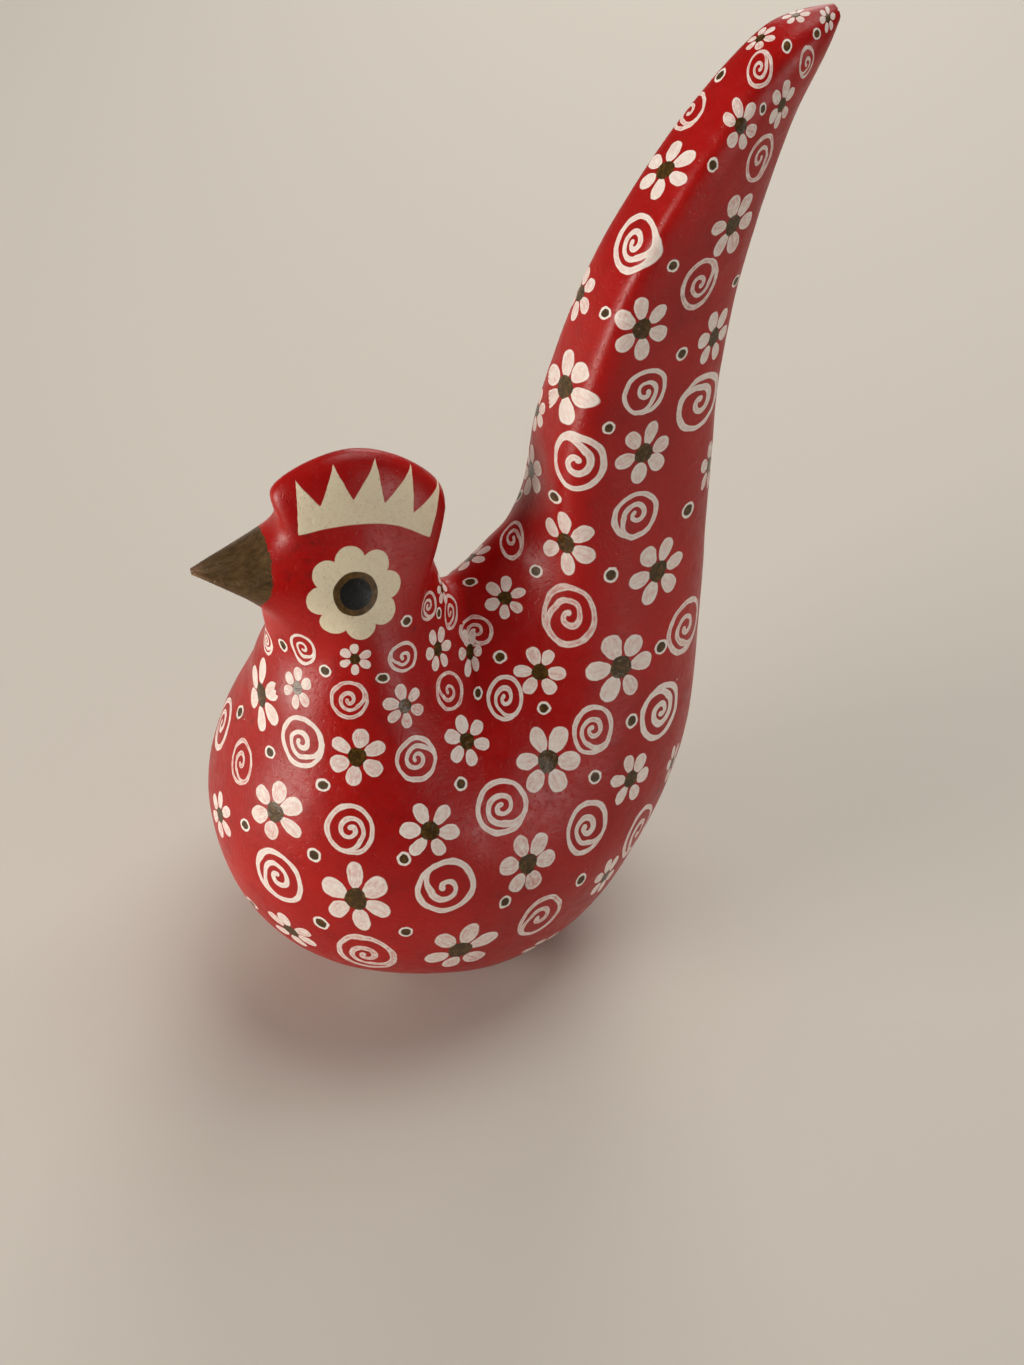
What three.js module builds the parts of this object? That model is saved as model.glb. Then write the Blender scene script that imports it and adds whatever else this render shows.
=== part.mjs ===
import * as THREE from 'three';
import { LoftGeometry } from 'three/addons/geometries/LoftGeometry.js';

// A thin-walled fired clay bird, 313 mm high, that rests on a small flat under its belly.
// Millimetres, +Z up. The beak points along -Y, the tail rises over +Y and the bird's left is +X.
// The origin is the middle of the flat. The bird is fired in one piece, so it is one solid.

const claySlip = { color: 0xb23a2c, roughness: 0.42, metalness: 0 };
const ringStep = 5.3; // mean distance between two rings of the skin
const ringCorners = 44; // corners round one ring
const combHalfThickness = 6.5; // the comb is 13 mm thick
const combRoot = 0.12; // share of the upper half ring that stays comb before it flares to the head
const combEdge = 0.3; // share of the upper half ring over which the comb's top rounds off
const blendLength = 10; // distance over which one ring's width passes into the next
const endShare = 0.06; // share of the skin at each tip that keeps each ring's own width
const restHeight = 0; // whatever the belly would reach below this is the flat

// One cross-section, set by three points of the side view as [y, z]: the back edge, the flank
// where the section is widest, and the under edge, which is the breast on the head and the rear
// of the tail. comb draws the upper half in to the comb's thickness, from 0 to 1. The fullness of
// the upper and the under half is 2 for an ellipse, more for a squarer and less for a sharper edge.
function station(place, back, flank, under, halfWidth, comb, backFullness, underFullness) {
  return { place, back, flank, under, halfWidth, comb, backFullness, underFullness };
}

const stations = [
  station('beak tip', [-78, 171.5], [-78, 170.5], [-78, 169.5], 1, 0, 2, 2),
  station('beak', [-66, 172.4], [-68, 168.4], [-68.2, 164.6], 7, 0, 2, 2),
  station('beak root', [-55.5, 178.3], [-57.5, 167], [-59, 155.5], 13, 0, 2, 2),
  station('brow', [-52, 185.4], [-48, 165], [-59, 149], 17, 0.5, 2, 2),
  station('comb front', [-53.6, 193.8], [-40, 161], [-58.5, 142], 20, 1, 2, 2),
  station('comb top', [-29.5, 203], [-35, 155], [-60.3, 134], 22.5, 1, 2, 2.1),
  station('comb rear', [-12, 194.2], [-33, 146.5], [-63.4, 125.5], 25, 0.9, 2, 2.2),
  station('comb heel', [-2.2, 181], [-32, 137], [-64.6, 117.3], 28, 0.5, 2, 2.3),
  station('nape', [-8.4, 166], [-31, 126], [-68.8, 107.5], 33, 0, 2, 2.4),
  station('saddle', [-6, 153.5], [-30.5, 112], [-76.2, 92.5], 42.5, 0, 2, 2.4),
  station('breast', [-4, 147.5], [-27, 93], [-82.5, 65], 55, 0, 2, 2.3),
  station('belly', [0, 147.5], [-19, 76], [-66, 21], 60.5, 0, 2, 2.12),
  station('foot', [4, 151], [-7, 68], [-5, -4], 61.5, 0, 2, 2.12),
  station('rear', [8, 155], [9, 71], [33.5, 9.5], 58, 0, 2, 2.1),
  station('rump', [12, 159.5], [24, 82], [59.5, 45], 50, 0, 2, 2.05),
  station('tail base', [18.5, 164], [33, 101], [74.5, 78.5], 41, 0, 2.2, 2),
  station('tail root', [24.2, 174.5], [39, 130], [78, 120], 30, 0, 2.5, 1.9),
  station('low tail', [26.6, 193], [42.5, 176.5], [79, 165], 20, 0, 2.8, 1.7),
  station('mid tail', [32.8, 216], [47.5, 213], [80, 210], 15.5, 0, 3, 1.6),
  station('high tail', [45, 247.5], [56.5, 247.5], [85.5, 247], 13.3, 0, 3, 1.6),
  station('tail blade', [66.2, 284], [74, 282], [94, 281.5], 11.5, 0, 2.8, 1.6),
  station('tail point', [88, 309.7], [94, 305.5], [101, 300], 8.2, 0, 2.3, 1.8),
  station('tail tip', [103, 313], [103.8, 311], [104, 309], 2.2, 0, 2, 2),
];

// A smooth curve in the side view through one point of every station.
function sideCurve(edge) {
  const points = stations.map((s) => new THREE.Vector3(0, s[edge][0], s[edge][1]));
  return new THREE.CatmullRomCurve3(points, false, 'centripetal');
}

// Places along the curves, as a share of the whole, with about ringStep between them.
function ringPlaces(curves) {
  const places = [];
  const gaps = stations.length - 1;
  for (let gap = 0; gap < gaps; gap++) {
    const chords = curves.map((c) => c.points[gap].distanceTo(c.points[gap + 1]));
    const meanChord = chords.reduce((sum, chord) => sum + chord) / chords.length;
    const steps = Math.max(2, Math.round(meanChord / ringStep));
    for (let step = 0; step < steps; step++) {
      places.push((gap + step / steps) / gaps);
    }
  }
  places.push(1);
  return places;
}

// A station's number at a place between two stations.
function between(field, place) {
  const position = place * (stations.length - 1);
  const from = Math.min(Math.floor(position), stations.length - 2);
  return THREE.MathUtils.lerp(stations[from][field], stations[from + 1][field], position - from);
}

// The rings' widths meet smoothly, because a point takes its width from every ring near it.
function blended(field, point, rings) {
  const nearest = Math.min(...rings.map((ring) => ring.flank.distanceTo(point)));
  let weights = 0;
  let total = 0;
  for (const ring of rings) {
    const weight = Math.exp((nearest - ring.flank.distanceTo(point)) / blendLength);
    weights += weight;
    total += weight * ring[field];
  }
  return total / weights;
}

// Half width of the comb's half ring: a thin slab with a rounded top that flares to the head.
function combProfile(depth, halfWidth) {
  const slab = Math.min(combHalfThickness, halfWidth);
  const rounding = 1 - Math.min(depth / combEdge, 1);
  const flare = THREE.MathUtils.smoothstep(depth, combRoot, 1);
  return slab * Math.sqrt(1 - rounding ** 2) + (halfWidth - slab) * flare;
}

// The left half of one ring, from the back edge round the flank to the under edge.
function halfRing(ring, rings) {
  const { back, flank, under } = ring;
  const reach = back.clone().sub(under).multiplyScalar(0.5);
  const bow = back.clone().add(under).multiplyScalar(0.5).sub(flank);
  const ownWidth = THREE.MathUtils.clamp(Math.min(ring.place, 1 - ring.place) / endShare, 0, 1);
  const corners = [];
  for (let corner = 0; corner <= ringCorners / 2; corner++) {
    const angle = (corner / ringCorners) * 2 * Math.PI;
    const upper = corner <= ringCorners / 4;
    const power = 2 / (upper ? ring.backFullness : ring.underFullness);
    const along = Math.sign(Math.cos(angle)) * Math.abs(Math.cos(angle)) ** power;
    const across = corner % (ringCorners / 2) === 0 ? 0 : Math.sin(angle) ** power;
    const point = flank.clone().addScaledVector(reach, along).addScaledVector(bow, along ** 2);
    const halfWidth = THREE.MathUtils.lerp(
      ring.halfWidth,
      blended('halfWidth', point, rings),
      ownWidth,
    );
    point.x = halfWidth * across;
    if (upper) {
      const comb = THREE.MathUtils.lerp(ring.comb, blended('comb', point, rings), ownWidth);
      const combWidth = across && combProfile(1 - along, halfWidth);
      point.x = THREE.MathUtils.lerp(point.x, combWidth, comb);
    }
    point.z = Math.max(point.z, restHeight);
    corners.push(point);
  }
  return corners;
}

// The whole ring: the left half, then the same corners mirrored on the way back up.
function wholeRing(leftHalf) {
  const rightHalf = leftHalf.slice(1, -1).reverse();
  return [...leftHalf, ...rightHalf.map((p) => new THREE.Vector3(-p.x, p.y, p.z))];
}

function birdSkin() {
  const curves = ['back', 'flank', 'under'].map(sideCurve);
  const rings = ringPlaces(curves).map((place) => ({
    place,
    back: curves[0].getPoint(place),
    flank: curves[1].getPoint(place),
    under: curves[2].getPoint(place),
    halfWidth: between('halfWidth', place),
    comb: between('comb', place),
    backFullness: between('backFullness', place),
    underFullness: between('underFullness', place),
  }));
  const sections = rings.map((ring) => wholeRing(halfRing(ring, rings)));
  return new LoftGeometry(sections, { capStart: true, capEnd: true });
}

const bird = new THREE.Mesh(birdSkin(), new THREE.MeshStandardMaterial(claySlip));
bird.name = 'bird';

const part = new THREE.Group();
part.add(bird);

export default part;
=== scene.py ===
import math
import random

import bmesh
import bpy
from mathutils import Matrix, Vector, noise
from mathutils.bvhtree import BVHTree


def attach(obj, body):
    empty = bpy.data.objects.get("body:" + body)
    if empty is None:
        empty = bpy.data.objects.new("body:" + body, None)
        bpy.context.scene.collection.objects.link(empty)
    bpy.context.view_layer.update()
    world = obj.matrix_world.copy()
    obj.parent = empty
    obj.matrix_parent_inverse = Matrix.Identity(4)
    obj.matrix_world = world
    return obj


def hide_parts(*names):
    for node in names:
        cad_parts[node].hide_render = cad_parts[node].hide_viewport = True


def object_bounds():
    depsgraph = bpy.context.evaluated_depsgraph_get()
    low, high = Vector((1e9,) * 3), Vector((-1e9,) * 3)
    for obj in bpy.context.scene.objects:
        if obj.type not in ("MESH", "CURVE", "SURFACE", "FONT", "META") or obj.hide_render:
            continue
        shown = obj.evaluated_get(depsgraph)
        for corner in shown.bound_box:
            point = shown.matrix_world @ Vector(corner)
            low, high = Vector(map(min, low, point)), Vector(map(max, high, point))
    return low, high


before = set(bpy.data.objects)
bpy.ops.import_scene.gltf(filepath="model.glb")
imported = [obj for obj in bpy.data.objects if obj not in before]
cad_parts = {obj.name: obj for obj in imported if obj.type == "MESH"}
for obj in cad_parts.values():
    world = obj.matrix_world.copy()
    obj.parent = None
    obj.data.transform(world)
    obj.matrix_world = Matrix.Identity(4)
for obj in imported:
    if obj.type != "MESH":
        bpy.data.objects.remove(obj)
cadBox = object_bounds()
mm = 0.001  # the scene is in metres, sizes below are in millimetres where they say so
print("frame loaded")


# Camera, at the photograph's viewing angle

cameraSetup = {
    "width": 1024,  # pixels of the photograph
    "height": 1365,
    "focal": 2050,  # pixels
    "filmWidth": 36,  # millimetres
    "azimuth": 72.5,  # degrees, 0 looks along +Y and 90 along -X
    "tilt": 43.9,  # degrees below the horizon
    "place": (445.4, -123.2, 549.0),  # millimetres
}


def addCamera(setup):
    data = bpy.data.cameras.new("photoCamera")
    data.sensor_width = setup["filmWidth"]
    data.lens = setup["filmWidth"] * setup["focal"] / max(setup["width"], setup["height"])
    camera = bpy.data.objects.new("photoCamera", data)
    camera.location = Vector(setup["place"]) * mm
    camera.rotation_euler = (math.radians(90 - setup["tilt"]), 0, math.radians(setup["azimuth"]))
    bpy.context.scene.collection.objects.link(camera)
    bpy.context.scene.camera = camera
    bpy.context.view_layer.update()
    return camera


camera = addCamera(cameraSetup)


# Small helpers

def addNode(tree, kind, inputs=(), out=0, **settings):
    # inputs are sockets or values, as a list in order or as a dictionary by name
    node = tree.nodes.new(kind)
    for name, value in settings.items():
        setattr(node, name, value)
    pairs = inputs.items() if isinstance(inputs, dict) else enumerate(inputs)
    for key, value in pairs:
        if isinstance(value, bpy.types.NodeSocket):
            tree.links.new(value, node.inputs[key])
        elif value is not None:
            node.inputs[key].default_value = value
    return node if out is None else node.outputs[out]


# short names for the kinds of node and the settings that come up most
vec, num, ramp = "ShaderNodeVectorMath", "ShaderNodeMath", "ShaderNodeMapRange"
combine, separate = "ShaderNodeCombineXYZ", "ShaderNodeSeparateXYZ"
noiseKind, chanceKind = "ShaderNodeTexNoise", "ShaderNodeTexWhiteNoise"
plus, minus, times = ({"operation": name} for name in ("ADD", "SUBTRACT", "MULTIPLY"))
soft ={"clamp": True, "interpolation_type": "SMOOTHSTEP"}
inColour = {"out": 2, "data_type": "RGBA", "clamp_factor": True}  # for a mix of two colours
noiseSpan = (0.3, 0.7)  # most values of a noise lie between these


def colour(hexCode):
    # sRGB hex to linear
    parts = [int(hexCode[i:i + 2], 16) / 255 for i in (1, 3, 5)]
    return [p / 12.92 if p <= 0.04045 else ((p + 0.055) / 1.055) ** 2.4 for p in parts] + [1.0]


def sightLine(pixel):
    # direction from the camera through a pixel of the photograph
    across = (pixel[0] - cameraSetup["width"] / 2) / cameraSetup["focal"]
    down = (pixel[1] - cameraSetup["height"] / 2) / cameraSetup["focal"]
    return (camera.matrix_world.to_3x3() @ Vector((across, -down, -1))).normalized()


def plainCopy(piece):
    # the piece with its modifiers turned into plain mesh
    name = piece.name
    graph = bpy.context.evaluated_depsgraph_get()
    graph.update()
    mesh = bpy.data.meshes.new_from_object(
        piece.evaluated_get(graph), preserve_all_data_layers=True, depsgraph=graph
    )
    old = piece.data
    piece.modifiers.clear()
    piece.data = mesh
    bpy.data.meshes.remove(old)
    mesh.name = name
    return piece


# Skin of the bird: the form of the solid made smooth, with the slight waves of hand work

skinSetup = {
    "mergeDistance": 0.001,  # millimetres
    "joinAngle": 50,  # degrees, most bend between two triangles that become one face
    "joinShape": 60,  # degrees, most that its corners are out of square
    "levels": 2,  # subdivisions
    "waveHeight": 0.35,  # millimetres
    "waveLength": 28.0,
    "rippleHeight": 0.10,
    "rippleLength": 9.0,
}


def smoothSkin(setup):
    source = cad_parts["bird"]
    mesh = bpy.data.meshes.new("paintedBird")
    work = bmesh.new()
    work.from_mesh(source.data)
    bmesh.ops.remove_doubles(work, verts=work.verts, dist=setup["mergeDistance"] * mm)
    bmesh.ops.join_triangles(
        work,
        faces=work.faces,
        angle_face_threshold=math.radians(setup["joinAngle"]),
        angle_shape_threshold=math.radians(setup["joinShape"]),
    )
    work.to_mesh(mesh)
    work.free()
    skin = bpy.data.objects.new("paintedBird", mesh)
    bpy.context.scene.collection.objects.link(skin)
    smooth = skin.modifiers.new("smooth", "SUBSURF")
    smooth.levels = setup["levels"]
    smooth.render_levels = setup["levels"]
    skin = plainCopy(skin)
    low, high = cadBox
    vertices = [(vertex.co.copy(), vertex.normal.copy()) for vertex in skin.data.vertices]
    places = []
    for point, normal in vertices:
        wave = noise.noise(point / (setup["waveLength"] * mm)) * setup["waveHeight"]
        ripple = noise.noise(point / (setup["rippleLength"] * mm)) * setup["rippleHeight"]
        moved = point + normal * (wave + ripple) * mm
        places.extend(min(max(c, lo), hi) for c, lo, hi in zip(moved, low, high))
    skin.data.vertices.foreach_set("co", places)
    skin.data.polygons.foreach_set("use_smooth", [True] * len(skin.data.polygons))
    skin.data.update()
    return skin


skin = smoothSkin(skinSetup)
print("skin made:", len(skin.data.polygons), "faces")


# Painted spots that the photograph shows. Flowers: pixel across, pixel down, width and height
# in pixels, and the direction of one petal in degrees, anticlockwise from the right.
# Spirals: the same, with the direction of their start, and a width under 0 for one that
# winds the other way round. Dots: pixel across, pixel down, width and height.

flowersSeen = [
    # tail, from the tip down
    (828, 18, 16, 28, 25), (796, 15, 28, 18, 15), (760, 38, 34, 22, 0), (741, 126, 38, 54, 55),
    (782, 105, 25, 48, 50), (665, 170, 54, 58, 28), (733, 225, 44, 65, 10), (580, 293, 30, 54, 30),
    (642, 329, 58, 64, 43), (714, 337, 34, 58, 15), (565, 387, 48, 73, 43), (644, 453, 54, 62, 30),
    (531, 470, 20, 53, 20), (537, 410, 16, 44, 30), (709, 465, 18, 54, 15), (565, 543, 57, 62, 29),
    (658, 571, 53, 68, 31), (505, 598, 43, 43, 24), (470, 558, 45, 25, 20),
    # saddle and neck
    (621, 667, 66, 70, 12), (540, 672, 52, 51, 56), (470, 652, 24, 50, 20), (438, 649, 25, 47, 20),
    (442, 588, 9, 34, 10), (355, 659, 34, 32, 27), (261, 695, 25, 77, 30), (297, 688, 29, 44, 18),
    (405, 706, 41, 45, 48),
    # body, from left to right and down
    (357, 757, 59, 58, 18), (467, 741, 45, 53, 52), (548, 761, 63, 72, 2), (631, 779, 38, 54, 12),
    (672, 763, 14, 42, 20), (275, 812, 52, 65, 10), (220, 815, 17, 49, 20), (430, 831, 60, 58, 52),
    (356, 899, 69, 67, 30), (528, 864, 56, 62, 12), (605, 877, 28, 42, 20), (291, 931, 50, 38, 0),
    (460, 950, 75, 48, 20), (542, 943, 44, 20, 20),
]
spiralsSeen = [
    # tail
    (759, 68, 27, 40, 200), (807, 63, -15, 33, 20), (689, 111, 35, 40, 140), (760, 158, -28, 50, 90),
    (634, 243, 44, 61, 60), (700, 284, 38, 53, 210), (646, 392, -45, 48, 100), (700, 402, 40, 62, 10),
    (576, 463, 58, 60, 300), (636, 515, 47, 49, 40), (512, 539, -25, 40, 120), (569, 616, 57, 65, 350),
    (686, 626, 39, 58, 80),
    # saddle and neck
    (476, 631, 35, 32, 30), (450, 612, -13, 37, 90), (428, 606, 15, 30, 60), (404, 657, -29, 32, 330),
    (303, 648, 26, 32, 130), (267, 641, 9, 28, 60),
    # body
    (349, 700, 40, 39, 100), (449, 691, -28, 41, 300), (505, 698, 37, 47, 40), (593, 730, 42, 52, 20),
    (661, 711, 38, 60, 160), (222, 723, 18, 55, 60), (241, 762, 21, 48, 100), (301, 742, 43, 54, 60),
    (417, 759, -42, 47, 320), (350, 830, -52, 53, 190), (502, 807, 54, 58, 20), (587, 828, 42, 57, 60),
    (278, 877, 48, 55, 330), (446, 888, -62, 54, 280), (540, 917, 45, 41, 60), (366, 955, 62, 31, 40),
    (638, 831, 30, 58, 100), (223, 857, 10, 46, 60),
]
dotsSeen = [
    # tail
    (817, 34, 8, 12), (787, 46, 10, 15), (720, 75, 13, 13), (763, 109, 7, 13), (713, 165, 11, 15),
    (673, 266, 12, 13), (736, 281, 7, 13), (605, 313, 12, 13), (682, 354, 12, 14), (609, 428, 13, 13),
    (519, 496, 9, 13), (554, 497, 13, 14), (688, 510, 12, 17), (536, 571, 14, 13), (611, 575, 15, 16),
    (470, 582, 15, 9),
    # saddle and neck
    (661, 647, 13, 15), (500, 657, 14, 13), (439, 613, 5, 12), (407, 621, 11, 12), (383, 678, 14, 11),
    (325, 671, 12, 12), (283, 645, 9, 13),
    # body
    (478, 693, 9, 14), (544, 708, 14, 13), (632, 721, 12, 15), (240, 712, 7, 14), (270, 752, 10, 13),
    (595, 777, 13, 14), (461, 784, 13, 14), (323, 785, 15, 13), (245, 825, 9, 13), (314, 855, 14, 14),
    (404, 859, 14, 14), (581, 880, 11, 14), (252, 903, 12, 12), (321, 923, 16, 13), (406, 932, 14, 10),
    (505, 902, 12, 13),
]

spotSetup = {
    "seed": 11,
    "seedLimit": 200,  # each spot has its own whole number under this
    "planeShare": 0.75,  # of a spot's size, over which the plane it lies in is taken
    "planeReach": 15.6,  # millimetres, past which a rim point doesn't count for that plane
    "planeArea": 0.001,  # square millimetres, under which the rim gives no plane
    "planeFacing": 0.3,  # least cosine between that plane's normal and the skin's
    "seenFacing": -0.12,  # skin turned this little from the camera still counts as seen
    "layerFacing": 0.1,  # least cosine between a spot and the skin that it shows on
    "outside": (9.0, 9.0, 0.0),  # a place that no motif reaches
    "darts": 26000,  # tries at a free place on the side away from the photograph
    "flowerRadius": (8.6, 11.2),  # millimetres
    "spiralRadius": (7.6, 9.8),
    "dotRadius": 2.1,
    "gap": 2.2,  # least distance between two spots
    "gapToDots": 1.1,  # from a new spot to the dots
    "dotGap": 0.88,  # from a new dot to the spots
    "dotSpacing": 17.0,
    "neckHeight": 180.0,  # in front, spots get smaller up to this height
    "neckSize": 0.55,  # their size there
    "tipHeight": 230.0,  # over this height they are smaller too
    "tipSize": 0.85,
    "headHeight": 150.0,  # no spots over this height in front of the saddle
    "footHeight": 9.0,  # nor under this height
}


class Spot:
    # one painted motif: its middle, the way it faces, and two directions that measure places
    # in it, so that its rim lies at 1 along both
    def __init__(self, place, normal, along, across, radius, seed):
        self.place = place
        self.normal = normal
        self.along = along
        self.across = across
        self.radius = radius
        self.seed = seed


def planeAtPixel(tree, x, y, width, height):
    # the place at a pixel, and the normal of the plane that the spot round it lies in
    place, normal, _, _ = tree.ray_cast(camera.location, sightLine((x, y)))
    if place is None:
        return None, None
    reach = spotSetup["planeReach"] * mm

    def rimPlace(across, down):
        share = spotSetup["planeShare"] / 2
        line = sightLine((x + across * abs(width) * share, y + down * height * share))
        found = tree.ray_cast(camera.location, line)[0]
        return place if found is None or (found - place).length > reach else found

    chordAcross = rimPlace(1, 0) - rimPlace(-1, 0)
    chordUp = rimPlace(0, -1) - rimPlace(0, 1)
    plane = chordAcross.cross(chordUp)
    if plane.length < spotSetup["planeArea"] * mm ** 2:
        return place, normal
    plane.normalize()
    return place, normal if plane.dot(normal) < spotSetup["planeFacing"] else plane


def spotAtPixel(tree, x, y, width, height, turn, seed):
    # the spot on the surface that looks this wide and high in the picture
    place, normal = planeAtPixel(tree, x, y, width, height)
    if place is None:
        return None
    view = camera.matrix_world.to_3x3()
    right, up, ahead = (view @ Vector(axis) for axis in ((1, 0, 0), (0, 1, 0), (0, 0, -1)))
    line = place - camera.location
    scale = cameraSetup["focal"] / line.dot(ahead)
    first = (right - normal * right.dot(normal)).normalized()
    second = normal.cross(first)
    # how a step along each of the two directions moves in the picture, in pixels
    flat = [step - line * (step.dot(ahead) / line.dot(ahead)) for step in (first, second)]
    picture = Matrix([[step.dot(axis) * scale for step in flat] for axis in (right, up)])
    stretch = Matrix.Diagonal([
        abs(width) / 2 / picture[0].length,
        height / 2 / picture[1].length,
    ])
    angle = math.radians(turn)
    toward = picture.inverted() @ stretch.inverted() @ Vector((math.cos(angle), math.sin(angle)))
    toward.normalize()
    flip = -1 if width < 0 else 1
    turned = Matrix([[toward.x, -toward.y * flip], [toward.y, toward.x * flip]])
    measure = (picture.inverted() @ stretch @ picture @ turned).inverted()
    along = first * measure[0][0] + second * measure[0][1]
    across = first * measure[1][0] + second * measure[1][1]
    radius = max(1 / along.length, 1 / across.length)
    return Spot(place, normal, along, across, radius, seed)


def plainSpot(place, normal, radius, rng):
    # a round spot, turned and wound at random
    along = Vector([rng.uniform(-1, 1) for _ in range(3)])
    along = (along - normal * along.dot(normal)).normalized()
    across = normal.cross(along) * rng.choice((-1, 1))
    seed = rng.randrange(1, spotSetup["seedLimit"])
    return Spot(place, normal, along / radius, across / radius, radius, seed)


def seenSpots(tree, rng):
    groups = (flowersSeen, spiralsSeen, [dot + (rng.uniform(0, 360),) for dot in dotsSeen])
    limit = spotSetup["seedLimit"]
    found = [[spotAtPixel(tree, *spot, rng.randrange(1, limit)) for spot in group] for group in groups]
    return [[spot for spot in spots if spot] for spots in found]


def isSeen(tree, place, normal):
    toCamera = camera.location - place
    if toCamera.normalized().dot(normal) < spotSetup["seenFacing"]:
        return False
    return tree.ray_cast(place + normal * mm, toCamera)[0] is None


def hiddenPlaces(rng, count):
    # random places on the skin, spread evenly by area, away from the face and the foot
    polygons = skin.data.polygons
    chosen = rng.choices(range(len(polygons)), weights=[p.area for p in polygons], k=count)
    for index in chosen:
        place, normal = polygons[index].center.copy(), polygons[index].normal.copy()
        height = place.z / mm
        onHead = height > spotSetup["headHeight"] and place.y < 0
        if height > spotSetup["footHeight"] and not onHead:
            yield place, normal


def isHidden(tree, spot):
    # neither the spot's middle nor eight places on its rim can be seen
    steps = [Vector((0, 0, 0))]
    for turn in range(0, 360, 45):
        angle = math.radians(turn)
        step = spot.along * math.cos(angle) + spot.across * math.sin(angle)
        steps.append(step * spot.radius ** 2)
    nearest = (tree.find_nearest(spot.place + step) for step in steps)
    return not any(isSeen(tree, near, normal) for near, normal, _, _ in nearest)


def hasRoom(place, radius, gap, others):
    least = radius + gap * mm
    return all((place - other.place).length > least + other.radius for other in others)


def easedSize(place):
    # in front, spots get smaller up the neck, and all do near the tail's tip
    size = 1
    if place.y < 0:
        least = spotSetup["neckSize"]
        size = min(1, max(least, 1 + least - place.z / (spotSetup["neckHeight"] * mm)))
    return size * spotSetup["tipSize"] if place.z > spotSetup["tipHeight"] * mm else size


def hiddenSpots(tree, rng, flowers, spirals, dots):
    # darts thrown at the far side, each kept where it has room and can't be seen
    for number, (place, normal) in enumerate(hiddenPlaces(rng, spotSetup["darts"])):
        isFlower = number % 2 == 0
        low, high = spotSetup["flowerRadius" if isFlower else "spiralRadius"]
        radius = rng.uniform(low, high) * mm * easedSize(place)
        clear = hasRoom(place, radius, spotSetup["gap"], flowers + spirals)
        if clear and hasRoom(place, radius, spotSetup["gapToDots"], dots):
            spot = plainSpot(place, normal, radius, rng)
            if isHidden(tree, spot):
                (flowers if isFlower else spirals).append(spot)
    radius = spotSetup["dotRadius"] * mm
    between = spotSetup["dotSpacing"] - 2 * spotSetup["dotRadius"]
    for place, normal in hiddenPlaces(rng, spotSetup["darts"] // 3):
        clear = hasRoom(place, radius, spotSetup["dotGap"], flowers + spirals)
        if clear and hasRoom(place, radius, between, dots):
            spot = plainSpot(place, normal, radius, rng)
            if isHidden(tree, spot):
                dots.append(spot)


def spotPoints(name, spots):
    # the spots as loose points that carry their own directions
    mesh = bpy.data.meshes.new(name)
    mesh.from_pydata([spot.place for spot in spots], [], [])
    for field in ("along", "across", "normal"):
        data = mesh.attributes.new(field, "FLOAT_VECTOR", "POINT").data
        for item, spot in zip(data, spots):
            item.vector = getattr(spot, field)
    data = mesh.attributes.new("seed", "FLOAT", "POINT").data
    for item, spot in zip(data, spots):
        item.value = spot.seed
    points = bpy.data.objects.new(name, mesh)
    bpy.context.scene.collection.objects.link(points)
    return points


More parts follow.
